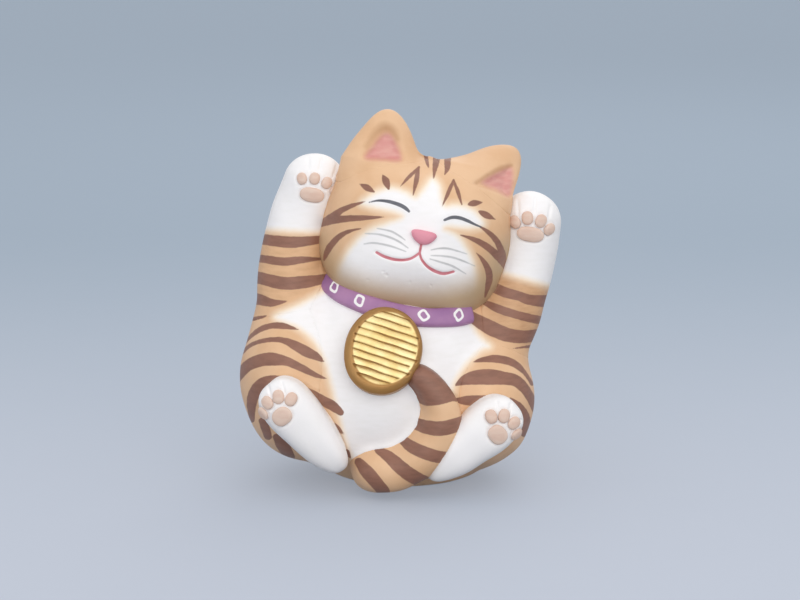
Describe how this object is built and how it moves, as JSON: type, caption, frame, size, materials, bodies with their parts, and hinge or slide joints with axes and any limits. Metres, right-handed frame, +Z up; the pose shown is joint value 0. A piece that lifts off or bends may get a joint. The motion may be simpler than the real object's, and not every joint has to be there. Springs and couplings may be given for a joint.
{
  "type": "lucky cat figurine",
  "caption": "Seated hand-painted pottery cat that leans back with both front paws raised, soles forward, a collar, a ribbed oval coin on its chest and its tail curled up over the belly.",
  "frame": {"origin": "centre of the bounding box on the plane the base rests on", "axes": "+Z up, -Y the way the cat faces, +X the cat's own left (the viewer's right)"},
  "size_m": [0.0923, 0.0681, 0.1064],
  "materials": {
    "white_slip": "matte white slip, brushed on",
    "tabby_slip": "matte orange slip with brown brushed stripes",
    "collar_purple": "matte purple paint with white diamond dots",
    "koban_gold": "satin gold paint over ribbed clay",
    "nose_pink": "matte pink paint",
    "pad_pink": "matte pale pink paint"
  },
  "bodies": {
    "root": {"body": "white_slip", "left_foot": "white_slip", "right_foot": "white_slip", "head": "tabby_slip", "left_ear": "tabby_slip", "right_ear": "tabby_slip", "left_arm": "tabby_slip", "right_arm": "tabby_slip", "left_thigh": "tabby_slip", "right_thigh": "tabby_slip", "tail": "tabby_slip", "collar": "collar_purple", "koban": "koban_gold", "nose": "nose_pink", "left_paw_palm": "pad_pink", "left_paw_toe_1": "pad_pink", "left_paw_toe_2": "pad_pink", "left_paw_toe_3": "pad_pink", "left_paw_toe_4": "pad_pink", "left_foot_sole": "pad_pink", "left_foot_toe_1": "pad_pink", "left_foot_toe_2": "pad_pink", "left_foot_toe_3": "pad_pink", "left_foot_toe_4": "pad_pink", "right_paw_palm": "pad_pink", "right_paw_toe_1": "pad_pink", "right_paw_toe_2": "pad_pink", "right_paw_toe_3": "pad_pink", "right_paw_toe_4": "pad_pink", "right_foot_sole": "pad_pink", "right_foot_toe_1": "pad_pink", "right_foot_toe_2": "pad_pink", "right_foot_toe_3": "pad_pink", "right_foot_toe_4": "pad_pink"}
  },
  "joints": []
}
